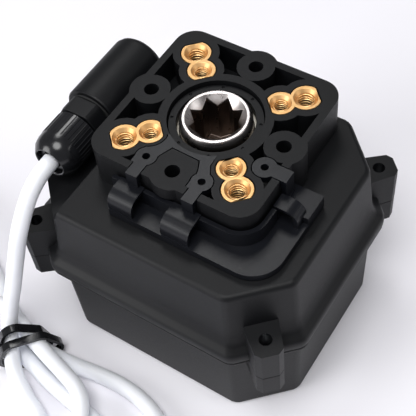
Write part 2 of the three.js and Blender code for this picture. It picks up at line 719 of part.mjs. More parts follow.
function cover() {
  const top = PARTING_Z - GAP;
  let shell = caseLoft([
    [0, 4.6], [0.5, 3.9], [1.6, 3.5], [PARTING_Z - 4.7, 3.05], [PARTING_Z - 4.2, 3],
    [PARTING_Z - 3.8, 2.5], [PARTING_Z - 3.1, 1.5], [PARTING_Z - 2.1, 0.7],
    [PARTING_Z - 0.9, 0.2], [top, 0.3],
  ]);
  for (const lug of lugs) {
    shell = shell.add(lugBlock(lug, LUG_BOTTOM_Z, top));
  }
  shell = shell.subtract(caseLoft([[WALL, 7], [PARTING_Z + 1, 6.2]]));
  for (const lug of lugs) {
    shell = shell.subtract(post(lug.x, lug.y, SCREW_R + GAP, LUG_BOTTOM_Z - 1, top + 1, 16));
    const head = post(lug.x, lug.y, SCREW_HEAD_R + GAP, LUG_BOTTOM_Z - 8, LUG_BOTTOM_Z + SCREW_HEAD_H + 1, 20);
    shell = shell.subtract(head);
  }
  // groove for the gasket
  shell = shell.subtract(gasketRing(GAP));
  // indicator window seat and opening, override opening
  shell = cut(
    shell,
    post(0, 0, WINDOW_R + GAP, -1, WINDOW_T + GAP, 40),
    post(0, 0, WINDOW_OPENING_R, -1, WALL + 1, 32),
    post(...overrideAt, PLUG_R, -1, WALL + 1, 24),
    post(...overrideAt, PLUG_R + 1 + GAP, -1, 1.3, 24),
  );
  return shell;
}

function gasketRing(margin) {
  const outer = caseLoft([[PARTING_Z - 1.6 - margin, 3.4 - margin], [PARTING_Z, 3.4 - margin]]);
  const inner = caseLoft([[PARTING_Z - 3, 5 + margin], [PARTING_Z + 1, 5 + margin]]);
  return outer.subtract(inner);
}

function gasket() {
  return gasketRing(0).intersect(block(-60, 60, -60, 60, 0, PARTING_Z - 0.1));
}

function coverScrew(lug) {
  const headZ = LUG_BOTTOM_Z + 0.6;
  const socket = new THREE.CylinderGeometry(1.45, 1.45, 3, 6);
  socket.rotateX(Math.PI / 2);
  const screw = turned([
    [0, 0], [SCREW_HEAD_R, 0], [SCREW_HEAD_R, SCREW_HEAD_H], [SCREW_R, SCREW_HEAD_H],
    [SCREW_R, SCREW_HEAD_H + SCREW_LENGTH - 0.6], [SCREW_R - 0.5, SCREW_HEAD_H + SCREW_LENGTH],
    [0, SCREW_HEAD_H + SCREW_LENGTH],
  ], 16);
  return moved(screw.subtract(toSolid(socket)), lug.x, lug.y, headZ);
}

// ---------------------------------------------------------------- output drive

function threadInsert(angle) {
  const z0 = FACE_Z - INSERT_LENGTH;
  let insert = insertOutline(0, z0, FACE_Z, 28);
  for (const [r, core] of [[F05_R, M6_CORE_R], [F03_R, M5_CORE_R]]) {
    const bore = turned([
      [0, z0 - 1], [core, z0 - 1], [core, FACE_Z - 1], [core + 0.9, FACE_Z], [core + 0.9, FACE_Z + 1],
      [0, FACE_Z + 1],
    ], 20);
    insert = insert.subtract(moved(bore, r, 0));
  }
  return insert.rotate([0, 0, angle]);
}

function doubleSquare(z0, z1) {
  const tip = SQUARE / Math.SQRT2;
  const notch = SQUARE / 2 / Math.cos(radians(22.5));
  const points = [];
  for (let i = 0; i < 8; i++) {
    points.push(polar(tip, DRIVE_CLOCKING + 45 * i), polar(notch, DRIVE_CLOCKING + 45 * i + 22.5));
  }
  return polygonPrism(points, z0, z1);
}

function outputDrive() {
  const rim = DRIVE_TOP_Z;
  const body = turned([
    [0, INDICATOR_Z + INDICATOR_T + GAP], [2.6, INDICATOR_Z + INDICATOR_T + GAP], [2.6, CAM_1_Z - 1.5],
    [DRIVE_STUB_R, CAM_1_Z - 1.5], [DRIVE_STUB_R, OUTPUT_GEAR_Z - GAP], [8, OUTPUT_GEAR_Z - GAP],
    [8, OUTPUT_GEAR_Z + OUTPUT_GEAR_H + 0.6], [DRIVE_FLANGE_R, OUTPUT_GEAR_Z + OUTPUT_GEAR_H + 0.6],
    [DRIVE_FLANGE_R, DRIVE_FLANGE_Z], [DRIVE_R, DRIVE_FLANGE_Z], [DRIVE_R, rim - 1.6],
    [DRIVE_RIM_R, rim], [0, rim],
  ], 40);
  const leadIn = turned([
    [0, rim - 2.9], [SQUARE / 2, rim - 2.9], [DRIVE_CONE_R, rim], [DRIVE_CONE_R, rim + 1], [0, rim + 1],
  ], 40);
  const relief = post(0, 0, SOCKET_RELIEF_R, rim - SOCKET_DEPTH - SOCKET_RELIEF, rim, 24);
  return cut(body, leadIn, relief, doubleSquare(rim - SOCKET_DEPTH, rim + 1));
}

function driveRing() {
  const bottom = RING_TOP_Z - RING_THICKNESS;
  let ring = turned([
    [RING_BORE_R, bottom], [RING_R, bottom], [RING_R, RING_TOP_Z], [RING_BORE_R, RING_TOP_Z],
    [RING_BORE_R, bottom],
  ], 48);
  for (let i = 0; i < 8; i++) {
    const [x, y] = polar((RING_R + RING_BORE_R) / 2 + 0.25, 22.5 + 45 * i);
    ring = ring.subtract(post(x, y, 0.45, RING_TOP_Z - 0.5, RING_TOP_Z + 1, 8));
  }
  return ring;
}

function driveBush() {
  const bottom = DRIVE_FLANGE_Z + GAP;
  const top = RING_TOP_Z - RING_THICKNESS - GAP * 2;
  return turned([
    [DRIVE_R + GAP, bottom], [BUSH_R, bottom], [BUSH_R, top], [DRIVE_R + GAP, top],
    [DRIVE_R + GAP, bottom],
  ], 36);
}

// ---------------------------------------------------------------- gear train

// spur gear outline with straight-sided teeth, thin enough to run with backlash
function gearOutline(module, teeth, phase) {
  const pitchR = (module * teeth) / 2;
  const rootR = pitchR - 1.15 * module;
  const tipR = pitchR + 0.75 * module;
  const step = 360 / teeth;
  const points = [];
  for (let i = 0; i < teeth; i++) {
    const a = phase + i * step;
    points.push(polar(rootR, a - 0.26 * step), polar(tipR, a - 0.09 * step));
    points.push(polar(tipR, a + 0.09 * step), polar(rootR, a + 0.26 * step));
  }
  return points;
}

function gear(module, teeth, phase, z0, height) {
  return polygonPrism(gearOutline(module, teeth, phase), z0, z0 + height);
}

// angle of a tooth on the second gear that puts its gap opposite a tooth of the first
function meshPhase(firstPhase, firstTeeth, secondTeeth, direction) {
  const firstStep = 360 / firstTeeth;
  const secondStep = 360 / secondTeeth;
  const offset = ((firstPhase - direction) % firstStep) / firstStep;
  return direction + 180 - offset * secondStep + secondStep / 2;
}

const overridePhase = meshPhase(0, OUTPUT_TEETH, PINION_TEETH, OVERRIDE_ANGLE);
const idlerPhase = meshPhase(0, WHEEL_TEETH, PINION_TEETH, IDLER_ANGLE);
const motorPhase = meshPhase(0, WHEEL_TEETH, PINION_TEETH, MOTOR_ANGLE);

function outputGear() {
  const wheel = gear(OUTPUT_MODULE, OUTPUT_TEETH, 0, OUTPUT_GEAR_Z, OUTPUT_GEAR_H);
  return wheel.subtract(post(0, 0, 8 + GAP, OUTPUT_GEAR_Z - 1, OUTPUT_GEAR_Z + OUTPUT_GEAR_H + 1, 36));
}

function overrideGear() {
  const wheel = gear(FAST_MODULE, WHEEL_TEETH, 0, SECOND_WHEEL_Z, WHEEL_H);
  const pinionZ = SECOND_WHEEL_Z + WHEEL_H;
  const pinionH = OUTPUT_GEAR_Z + OUTPUT_GEAR_H - pinionZ;
  const pinion = gear(OUTPUT_MODULE, PINION_TEETH, overridePhase, pinionZ, pinionH);
  const bore = post(0, 0, OVERRIDE_SHAFT_R + GAP, SECOND_WHEEL_Z - 1, pinionZ + pinionH + 1, 20);
  return moved(wheel.add(pinion).subtract(bore), ...overrideAt);
}

function overrideShaft() {
  const bottom = 4.2;
  const shaft = post(0, 0, OVERRIDE_SHAFT_R, bottom, ceilingZ - 0.6, 20);
  const hexR = OVERRIDE_HEX / Math.sqrt(3);
  const hex = post(0, 0, hexR, bottom - 1, bottom + 6, 6);
  return moved(shaft.subtract(hex), ...overrideAt);
}

function idlerGear() {
  const wheel = gear(FAST_MODULE, WHEEL_TEETH, 0, FIRST_WHEEL_Z, WHEEL_H);
  const pinionZ = FIRST_WHEEL_Z + WHEEL_H;
  const pinionH = SECOND_WHEEL_Z + WHEEL_H - pinionZ;
  const pinion = gear(FAST_MODULE, PINION_TEETH, idlerPhase, pinionZ, pinionH);
  const bore = post(0, 0, ARBOR_R + GAP, FIRST_WHEEL_Z - 1, pinionZ + pinionH + 1, 16);
  return moved(wheel.add(pinion).subtract(bore), ...idlerAt);
}

function idlerArbor() {
  return moved(post(0, 0, ARBOR_R, PLATE_Z + 0.4, ceilingZ - 0.6, 14), ...idlerAt);
}

function motorRotor() {
  const pinion = gear(FAST_MODULE, PINION_TEETH, motorPhase, FIRST_WHEEL_Z, WHEEL_H);
  const shaft = post(0, 0, MOTOR_SHAFT_R, PLATE_Z - 7, FIRST_WHEEL_Z + WHEEL_H + 0.8, 14);
  return moved(pinion.add(shaft), ...motorAt);
}

function motorCan() {
  const top = PLATE_Z - GAP;
  const can = turned([
    [0, MOTOR_BOTTOM_Z], [4, MOTOR_BOTTOM_Z], [4, MOTOR_BOTTOM_Z + 1.2], [MOTOR_R - 1, MOTOR_BOTTOM_Z + 1.2],
    [MOTOR_R, MOTOR_BOTTOM_Z + 2.2], [MOTOR_R, top - 2.6], [MOTOR_R - 1, top - 1.6], [4.4, top - 1.6],
    [4.4, top], [0, top],
  ], 32);
  const bore = post(0, 0, MOTOR_SHAFT_R + GAP, PLATE_Z - 8, PLATE_Z + 1, 14);
  return moved(can.subtract(bore), ...motorAt);
}

function gearPlate() {
  let plate = caseLoft([[PLATE_Z, 7.6], [PLATE_Z + PLATE_H, 7.6]]);
  plate = cut(
    plate,
    post(0, 0, DRIVE_STUB_R + GAP, PLATE_Z - 1, PLATE_Z + PLATE_H + 1, 28),
    post(...overrideAt, OVERRIDE_SHAFT_R + GAP, PLATE_Z - 1, PLATE_Z + PLATE_H + 1, 20),
    post(...idlerAt, ARBOR_R + GAP, PLATE_Z - 1, PLATE_Z + PLATE_H + 1, 14),
    post(...motorAt, MOTOR_SHAFT_R + 1.6, PLATE_Z - 1, PLATE_Z + PLATE_H + 1, 18),
    block(BARREL_X - 6, BARREL_X + 7, -4, 14, PLATE_Z - 1, PLATE_Z + PLATE_H + 1),
  );
  for (const [x, y] of posts) {
    plate = plate.subtract(post(x, y, 1.2 + GAP, PLATE_Z - 1, PLATE_Z + PLATE_H + 1, 12));
  }
  return plate;
}

function plateScrew([x, y]) {
  const shank = post(x, y, 1.2, PLATE_Z - GAP, PLATE_Z + 8, 12);
  const head = post(x, y, 2.3, PLATE_Z - GAP - 1.5, PLATE_Z - GAP, 16);
  return shank.add(head);
}

// ---------------------------------------------------------------- cams, switches, indicator, board

// flat cam with one short lobe, clamped on the drive stub
function limitCam(z0, lobeAngle) {
  const points = [];
  for (let i = 0; i < 48; i++) {
    const a = (i * 360) / 48;
    const away = Math.abs((((a - lobeAngle) % 360) + 540) % 360 - 180);
    const r = away < 4 ? CAM_LOBE_R : away < 12 ? CAM_R + 0.5 : CAM_R;
    points.push(polar(r, a));
  }
  const cam = polygonPrism(points, z0, z0 + CAM_H);
  return cam.subtract(post(0, 0, DRIVE_STUB_R + GAP, z0 - 1, z0 + CAM_H + 1, 24));
}

const leverR = CAM_LOBE_R + GAP; // the lever's inner face, measured from the drive axis
const switchX = leverR + LEVER_T + 1.9;

function limitSwitch(side, camZ) {
  const z0 = camZ - 0.3;
  const x0 = side > 0 ? switchX : -switchX - SWITCH_H;
  const y0 = SWITCH_Y - SWITCH_L / 2;
  const body = block(x0, x0 + SWITCH_H, y0, y0 + SWITCH_L, z0, z0 + SWITCH_W - 1.6);
  const buttonX = side > 0 ? switchX - 0.8 : -switchX;
  return body.add(block(buttonX - 0.2, buttonX + 1, -0.6, 0.6, z0 + 1.8, z0 + 3));
}

// leaf lever hinged on the end of the switch
function switchLever(side, camZ) {
  const x = side * (leverR + LEVER_T / 2);
  const y0 = SWITCH_Y - SWITCH_L / 2;
  return block(x - LEVER_T / 2, x + LEVER_T / 2, y0 + 1, y0 + SWITCH_L - 2, camZ + 0.4, camZ + 3.6);
}

function circuitBoard() {
  const top = BOARD_Z + BOARD_T;
  let board = polygonPrism([
    [-35.5, -24], [-29, -35.5], [-15.5, -35.5], [-15.5, -15], [15, -3.4], [35.5, -3.4], [35.5, 13],
    [26.5, 21.5], [-26.5, 21.5], [-35.5, 13],
  ], BOARD_Z, top);
  board = cut(
    board,
    post(0, 0, BOARD_BORE_R, BOARD_Z - 1, top + 1, 28),
    block(BARREL_X - 4, BARREL_X + 5, -4, 10, BOARD_Z - 1, top + 1),
  );
  for (const [x, y] of posts) {
    board = board.subtract(post(x, y, 2.6, BOARD_Z - 1, top + 1, 16));
  }
  return board;
}

function terminalBlock() {
  let body = block(-34, -23, -26, -8, BOARD_Z - 9, BOARD_Z - GAP);
  for (let i = 0; i < 4; i++) {
    const y = -23.6 + i * 4.4;
    body = body.subtract(block(-35, -32, y - 1.4, y + 1.4, BOARD_Z - 6.6, BOARD_Z - 3.4));
    body = body.subtract(post(-27, y, 1.3, BOARD_Z - 10, BOARD_Z - 7.4, 10));
  }
  return body;
}

function capacitor() {
  const can = new THREE.CylinderGeometry(5, 5, 17, 20);
  can.rotateZ(Math.PI / 2);
  can.translate(20.5, 14, BOARD_Z - GAP - 5.4);
  return toSolid(can);
}

function relay() {
  return block(-12, 4, 13, 21, BOARD_Z - GAP - 11, BOARD_Z - GAP);
}

function indicatorDisc() {
  const disc = post(0, 0, INDICATOR_R, INDICATOR_Z, INDICATOR_Z + INDICATOR_T, 32);
  const bar = block(-1.3, 1.3, -INDICATOR_R + 1.2, INDICATOR_R - 1.2, INDICATOR_Z - 0.6, INDICATOR_Z + 0.2);
  return disc.add(bar);
}

function indicatorWindow() {
  return post(0, 0, WINDOW_R, 0, WINDOW_T, 40);
}

function overridePlug() {
  const cap = post(...overrideAt, PLUG_R + 1, 0.1, 1, 24);
  const stem = post(...overrideAt, PLUG_R - GAP, 0.5, WALL + 0.6, 24);
  return cap.add(stem);
}

// ---------------------------------------------------------------- cable gland

const hexFrontY = BARREL_FRONT_Y - 0.8 - GLAND_HEX_L;
const nutBackY = hexFrontY - GAP;
const nutFrontY = nutBackY - GLAND_NUT_L;

function glandOring() {
  const back = BARREL_FRONT_Y - 0.15;
  const front = BARREL_FRONT_Y - 0.65;
  const ring = turnedY([
    [GLAND_BORE_R + 0.2, front], [7.4, front], [7.4, back], [GLAND_BORE_R + 0.2, back],
    [GLAND_BORE_R + 0.2, front],
  ], 28);
  return moved(ring, BARREL_X, 0, BARREL_Z);
}

function glandBody() {
  const hexR = GLAND_HEX / Math.sqrt(3);
  const hexBack = BARREL_FRONT_Y - 0.8;
  const hex = new THREE.CylinderGeometry(hexR, hexR, GLAND_HEX_L, 6);
  hex.rotateY(radians(30));
  hex.translate(0, hexBack - GLAND_HEX_L / 2, 0);
  const threadR = GLAND_BORE_R - GAP;
  const stem = barY(0, 0, threadR, nutFrontY + 1.6, BARREL_FRONT_Y + 8, 24);
  const body = toSolid(hex).intersect(barY(0, 0, hexR - 0.35, hexBack - GLAND_HEX_L, hexBack, 40)).add(stem);
  const bore = barY(0, 0, LEAD_R + 1.6, nutFrontY, BARREL_FRONT_Y + 9, 20);
  return moved(body.subtract(bore), BARREL_X, 0, BARREL_Z);
}

function glandSeal() {
  const ring = turnedY([
    [LEAD_R + GAP, nutFrontY + 2], [LEAD_R + 1.3, nutFrontY + 2], [LEAD_R + 1.3, nutBackY + 3],
    [LEAD_R + GAP, nutBackY + 3], [LEAD_R + GAP, nutFrontY + 2],
  ], 20);
  return moved(ring, BARREL_X, 0, BARREL_Z);
}

// faceted cap nut with a domed end
function glandNut() {
  const inner = GLAND_BORE_R;
  const mouth = GLAND_MOUTH_Y;
  const nut = turnedY([
    [inner, nutBackY], [GLAND_NUT_R, nutBackY], [GLAND_NUT_R, nutFrontY], [GLAND_NUT_R - 0.1, nutFrontY - 1.6],
    [GLAND_NUT_R - 0.5, nutFrontY - 3.2], [GLAND_NUT_R - 1.4, nutFrontY - 4.5],
    [GLAND_MOUTH_R + 0.5, mouth], [GLAND_MOUTH_R, mouth + 0.3], [GLAND_MOUTH_R, nutFrontY - 1.4],
    [inner, nutFrontY + 0.8], [inner, nutBackY],
  ].reverse(), 32);
  return moved(nut, BARREL_X, 0, BARREL_Z);
}

function glandClaws() {
  const back = nutFrontY + 1.2;
  const front = GLAND_MOUTH_Y + 1.4;
  let ring = turnedY([
    [LEAD_R + GAP, front], [GLAND_MOUTH_R - GAP, front], [GLAND_MOUTH_R - GAP, back],
    [LEAD_R + GAP, back], [LEAD_R + GAP, front],
  ], 20);
  for (let i = 0; i < 5; i++) {
    const slot = block(-0.35, 0.35, front - 1, back - 1.4, 0, 6).rotate([0, 36 + 72 * i, 0]);
    ring = ring.subtract(slot);
  }
  return moved(ring, BARREL_X, 0, BARREL_Z);
}

// ---------------------------------------------------------------- supply lead

// tube of round section along chosen points; its ends stay square to the route
function tube(points, r, sides, step) {
  const curve = new THREE.CatmullRomCurve3(points.map((p) => new THREE.Vector3(...p)), false, 'centripetal');
  const section = new THREE.Shape();
  for (let i = 0; i < sides; i++) {
    const a = (i * 2 * Math.PI) / sides;
    const [x, y] = [r * Math.cos(a), r * Math.sin(a)];
    if (i === 0) section.moveTo(x, y);
    else section.lineTo(x, y);
  }
  section.closePath();
  const steps = Math.max(4, Math.round(curve.getLength() / step));
  const geometry = new THREE.ExtrudeGeometry(section, { steps, bevelEnabled: false, extrudePath: curve });
  return toSolid(geometry);
}

function leadCoil() {
  const inner = COIL_R - LEAD_R - 0.2;
  const outer = COIL_R + LEAD_R + 0.2;
  const top = 0.1 + COIL_TURNS_HIGH * (2 * LEAD_R + 0.3);
  const ring = turned([[inner, 0.1], [outer, 0.1], [outer, top], [inner, top], [inner, 0.1]], 40);
  return moved(ring, COIL_X, COIL_Y);
}

// the lead's run inside the gland and the case, down to the terminals
function innerLead() {
  return tube([
    [BARREL_X, LEAD_START_Y + GAP, BARREL_Z], [BARREL_X, -16, BARREL_Z], [BARREL_X, -2, BARREL_Z],
    [BARREL_X + 0.2, 3, BARREL_Z - 1.2], [BARREL_X + 0.3, 5.4, BARREL_Z - 5], [BARREL_X + 0.4, 6, 54],
    [BARREL_X + 0.6, 5.4, 44], [BARREL_X + 0.8, 4.6, 34], [BARREL_X + 2, 2, 24], [BARREL_X + 4, -3, 19],
    [BARREL_X + 5.5, -7.4, 18],
  ], 1.9, 8, 5);
}

// one turn of flat plastic-covered wire drawn round the strands
function tieTurn(strands, from) {
  const loop = (grow, z0, z1) => wasm.Manifold.hull(
    strands.map(([u, v]) => post(u, v, LEAD_R + TIE_SLACK + grow, z0, z1, 20)),
  );
  return loop(TIE_WIRE, from, from + TIE_BAND).subtract(loop(0, from - 1, from + TIE_BAND + 1));
}

// two turns round the bundle, joined by the twist of their ends
function cableTie() {
  const twist = wasm.Manifold.hull([
    block(-6.4, -5, 7, 8.6, TIE_REAR_N, TIE_REAR_N + 1.8),
    block(-8.2, -6.6, 6.6, 8.4, TIE_FRONT_N + 0.2, TIE_FRONT_N + TIE_BAND),
  ]);
  const tail = block(-14, -7.6, 6.8, 8, TIE_FRONT_N + 0.4, TIE_FRONT_N + 1.8);
  const flat = union(tieTurn(TIE_REAR, TIE_REAR_N), tieTurn(TIE_FRONT, TIE_FRONT_N), twist, tail);
  return moved(flat.rotate([90, 0, 0]).rotate([0, 0, TIE_TURN]), TIE_X, TIE_Y);
}

// ---------------------------------------------------------------- assembly

add('housing', housing(), blackHousing);
add('key_holder', keyHolder(), slateHolder);
add('cover', cover(), blackHousing);
add('cover_gasket', gasket(), rubberBlack);
lugs.forEach((lug, i) => add(`cover_screw_${i + 1}`, coverScrew(lug), zincSteel));
insertAngles.forEach((a, i) => add(`thread_insert_${i + 1}`, threadInsert(a), brass));
add('output_drive', outputDrive(), steel);
add('drive_ring', driveRing(), blackHousing);
add('drive_bush', driveBush(), naturalNylon);
add('output_gear', outputGear(), steel);
add('override_shaft', overrideShaft(), steel);
add('override_gear', overrideGear(), steel);
add('idler_arbor', idlerArbor(), steel);
add('idler_gear', idlerGear(), naturalNylon);
add('motor_rotor', motorRotor(), steel);
add('motor_can', motorCan(), zincSteel);
add('gear_plate', gearPlate(), zincSteel);
posts.forEach((at, i) => add(`plate_screw_${i + 1}`, plateScrew(at), zincSteel));
add('limit_cam_1', limitCam(CAM_1_Z, 180 + 6), yellowAcetal);
add('limit_cam_2', limitCam(CAM_2_Z, -84), yellowAcetal);
add('limit_switch_1', limitSwitch(-1, CAM_1_Z), glossBlack);
add('limit_switch_2', limitSwitch(1, CAM_2_Z), glossBlack);
add('switch_lever_1', switchLever(-1, CAM_1_Z), zincSteel);
add('switch_lever_2', switchLever(1, CAM_2_Z), zincSteel);
add('circuit_board', circuitBoard(), boardGreen);
add('terminal_block', terminalBlock(), terminalGreen);
add('capacitor', capacitor(), blueSleeve);
add('relay', relay(), glossBlack);
add('indicator_disc', indicatorDisc(), yellowAcetal);
add('indicator_window', indicatorWindow(), clearPlastic);
add('override_plug', overridePlug(), rubberBlack);
add('gland_oring', glandOring(), rubberBlack);
add('gland_body', glandBody(), blackHousing);
add('gland_seal', glandSeal(), rubberBlack);
add('gland_claws', glandClaws(), glossBlack);
add('gland_nut', glandNut(), glossBlack);
add('inner_lead', innerLead(), whitePvc);
add('lead_out', tube(LEAD_OUT, LEAD_R, 10, 10), whitePvc);
add('lead_coil', leadCoil(), whitePvc);
add('lead_back', tube(LEAD_BACK, LEAD_R, 10, 10), whitePvc);
CORES.forEach((points, i) => add(`lead_core_${i + 1}`, tube(points, CORE_R, 8, 4), whitePvc));
add('cable_tie', cableTie(), glossBlack);

export default group;
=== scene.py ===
import bpy
import bmesh
import json
import math
from mathutils import Vector, Matrix


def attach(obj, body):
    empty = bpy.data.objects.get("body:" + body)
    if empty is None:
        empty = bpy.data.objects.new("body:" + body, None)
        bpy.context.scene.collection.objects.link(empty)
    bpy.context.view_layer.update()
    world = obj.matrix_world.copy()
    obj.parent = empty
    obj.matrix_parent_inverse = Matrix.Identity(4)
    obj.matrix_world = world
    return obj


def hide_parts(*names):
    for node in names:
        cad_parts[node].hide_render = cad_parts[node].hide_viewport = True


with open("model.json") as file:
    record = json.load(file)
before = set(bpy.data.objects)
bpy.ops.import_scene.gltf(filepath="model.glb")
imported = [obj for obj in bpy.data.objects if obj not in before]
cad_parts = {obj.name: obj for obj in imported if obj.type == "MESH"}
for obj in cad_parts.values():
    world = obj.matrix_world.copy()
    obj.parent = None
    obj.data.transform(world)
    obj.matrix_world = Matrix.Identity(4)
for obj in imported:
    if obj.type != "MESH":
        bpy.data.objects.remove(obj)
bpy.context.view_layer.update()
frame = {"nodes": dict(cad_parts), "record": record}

# ------------------------------------------------------------------ studio
# The actuator stands on its cover on a pale table, under large soft lamps,
# seen from above its front right corner with the camera a little tilted.
VIEW_AZIMUTH, VIEW_ELEVATION, VIEW_TILT = 38.384, 54.141, -7.224
LENS_MM = 82.9
CAMERA_AT = Vector((0.1013, -0.1361, 0.2663))


def linear(hex_colour, alpha=1.0):
    """sRGB hex text as linear red, green, blue and alpha."""
    channels = [int(hex_colour[i:i + 2], 16) / 255 for i in (0, 2, 4)]
    return [c / 12.92 if c <= 0.04045 else ((c + 0.055) / 1.055) ** 2.4 for c in channels] + [alpha]


def add(tree, kind, settings=None, **links):
    """One node with its settings; links are input name (or _number) to a socket or a value."""
    node = tree.nodes.new(kind)
    for key, value in (settings or {}).items():
        setattr(node, key, value)
    for key, value in links.items():
        socket = node.inputs[int(key[1:])] if key[0] == "_" else node.inputs[key.replace("_", " ")]
        if isinstance(value, bpy.types.NodeSocket):
            tree.links.new(value, socket)
        else:
            socket.default_value = value
    return node


def new_material(name):
    """An empty node material with its output; returns it and its node tree."""
    material = bpy.data.materials.new(name)
    material.use_nodes = True
    material.node_tree.nodes.clear()
    return material, material.node_tree


def look_from(azimuth, elevation, tilt):
    """Rotation of a camera that looks back at the object from these angles in degrees."""
    a, e, t = (math.radians(v) for v in (azimuth, elevation, tilt))
    back = Vector((math.sin(a) * math.cos(e), -math.cos(a) * math.cos(e), math.sin(e)))
    right = (-back).cross(Vector((0, 0, 1))).normalized()
    up = right.cross(-back)
    turned_right = math.cos(t) * right + math.sin(t) * up
    turned_up = -math.sin(t) * right + math.cos(t) * up
    return Matrix((turned_right, turned_up, back)).transposed()


camera_data = bpy.data.cameras.new("camera")
camera_data.lens = LENS_MM
camera_data.sensor_width = 36
camera_data.clip_start = 0.01
camera = bpy.data.objects.new("camera", camera_data)
camera_turn = look_from(VIEW_AZIMUTH, VIEW_ELEVATION, VIEW_TILT)
camera.matrix_world = Matrix.Translation(CAMERA_AT) @ camera_turn.to_4x4()
bpy.context.collection.objects.link(camera)
bpy.context.scene.camera = camera


def soft_lamp(name, place, size, watts, aim=(0, 0, 0.04)):
    """A round soft lamp at a place, aimed at the middle of the case."""
    lamp = bpy.data.lights.new(name, "AREA")
    lamp.shape = "DISK"
    lamp.size = size
    lamp.energy = watts
    holder = bpy.data.objects.new(name, lamp)
    direction = Vector(place) - Vector(aim)
    holder.matrix_world = Matrix.Translation(place) @ direction.to_track_quat("Z", "Y").to_matrix().to_4x4()
    bpy.context.collection.objects.link(holder)


soft_lamp("overhead_softbox", (0.1, -0.35, 1.15), 0.7, 9.0)
soft_lamp("front_softbox", (-0.65, -0.95, 0.55), 0.8, 9.0)
soft_lamp("right_softbox", (0.95, 0.3, 0.5), 0.5, 1.5)
soft_lamp("rear_softbox", (-0.3, 0.34, 0.8), 0.3, 1.6)

world = bpy.data.worlds.new("studio_air")
bpy.context.scene.world = world
bpy.context.scene.view_settings.view_transform = "Standard"
world.use_nodes = True
air = world.node_tree.nodes["Background"]
air.inputs["Color"].default_value = linear("F2F2F6")
air.inputs["Strength"].default_value = 0.22

# pale painted table top, very finely mottled
table_paint, tree = new_material("satin_table_paint")
place = add(tree, "ShaderNodeTexCoord").outputs["Object"]
mottle = add(tree, "ShaderNodeTexNoise", Vector=place, Scale=6.0, Detail=3.0)
shade = add(tree, "ShaderNodeMix", {"data_type": "RGBA"}, _0=mottle.outputs["Fac"],
            _6=linear("EDEBF1"), _7=linear("F4F3F8"))
surface = add(tree, "ShaderNodeBsdfPrincipled", Base_Color=shade.outputs[2], Roughness=0.7)
add(tree, "ShaderNodeOutputMaterial", Surface=surface.outputs[0])
table_mesh = bpy.data.meshes.new("table_top")
table_mesh.from_pydata([(-3, -3, 0), (3, -3, 0), (3, 3, 0), (-3, 3, 0)], [], [(0, 1, 2, 3)])
table_mesh.materials.append(table_paint)
table_top = bpy.data.objects.new("table_top", table_mesh)
bpy.context.collection.objects.link(table_top)

# ------------------------------------------------------------------ supply lead
# Round three-core flex in a white soft PVC sheath, 5 mm thick and about 0.8 m long.
# It leaves the gland, runs twice through the tie in loops, is coiled flat beside
# the case, and ends in three short cores with crimped ferrules.
LEAD_THICK = 0.005
LEAD_OUT_MM = [
    (-36, -28.9, 63.5), (-36, -31, 63.4), (-36.3, -35, 62.3), (-36.6, -40, 59), (-36.9, -46.7, 50.8),
    (-38.4, -50.5, 40), (-39.7, -54.1, 29.5),
    (-41.2, -57.2, 19.8), (-40.6, -60.6, 13.6), (-38.7, -63.4, 10.9),
    (-36.5, -66.6, 8), (-33.2, -69.8, 5.2), (-27.5, -73, 3), (-19.8, -76.5, 2.6), (-13.8, -83, 2.6),
    (-10.8, -91.5, 2.6), (-4.5, -98.5, 2.6), (5, -100.9, 2.6), (16, -99, 2.6), (25, -92.5, 2.6),
    (28.5, -82.5, 2.6), (26, -72, 2.6), (18.8, -63.6, 2.6), (9.9, -58.2, 2.6), (2.2, -55.8, 2.6),
    (-5, -55.2, 2.6), (-12.1, -55.8, 2.6), (-20, -56.9, 2.6), (-27.5, -57.8, 3.4), (-35, -57.8, 4.1),
    (-41, -56.4, 4.1), (-47, -53.6, 3.6), (-54, -50, 2.9), (-61, -45.8, 2.6), (-68.6, -41.1, 2.6),
]
LEAD_BACK_MM = [
    (-70.2, -70.6, 7.4), (-63, -67.7, 6.4), (-55.5, -64.8, 5.2), (-48, -62.6, 4.2), (-43, -62.1, 4.1),
    (-38.1, -62.4, 4.1), (-33, -63.5, 4.1), (-27, -64.9, 2.9), (-19.3, -66.3, 2.6), (-11, -67.6, 2.6),
    (-3, -69, 2.6), (5, -71.4, 2.6), (12, -75.6, 2.6), (16, -82, 2.6), (14, -89.4, 2.6),
    (7.4, -93.6, 2.6), (0, -92.6, 2.6), (-4.4, -88, 2.6), (-5.4, -83, 2.7), (-5.7, -78.4, 3.7),
    (-6.3, -74.4, 5.6), (-7.4, -70.6, 7.6), (-9.8, -67, 8.5), (-13.8, -64.4, 8.6), (-20, -62.4, 8.6),
    (-27, -60.6, 9.1), (-35.5, -58.2, 9.5), (-42, -55.9, 9.6), (-48.3, -54.4, 9.3), (-53, -54.2, 8.9),
]
COIL_CENTRE_MM, COIL_RADIUS_MM = (-96.3, -54.1), 25.0
COIL_FROM, COIL_TO, COIL_STEPS = 59.0, 652.0, 32  # degrees, degrees, points
CLIMB_FROM, CLIMB_OVER = 325, 60  # degrees where the second turn climbs onto the first
LEAD_REST_MM, TURN_RISE_MM = 2.6, 5.2


def coil_points():
    """The turns of the coil: one flat turn on the table, then a climb onto it for the next."""
    points = []
    for i in range(COIL_STEPS + 1):
        angle = COIL_FROM + (COIL_TO - COIL_FROM) * i / COIL_STEPS
        climb = min(max((angle - CLIMB_FROM) / CLIMB_OVER, 0), 1)
        smooth_climb = climb * climb * (3 - 2 * climb)
        points.append((COIL_CENTRE_MM[0] + COIL_RADIUS_MM * math.cos(math.radians(angle)),
                       COIL_CENTRE_MM[1] + COIL_RADIUS_MM * math.sin(math.radians(angle)),
                       LEAD_REST_MM + TURN_RISE_MM * smooth_climb))
    return points


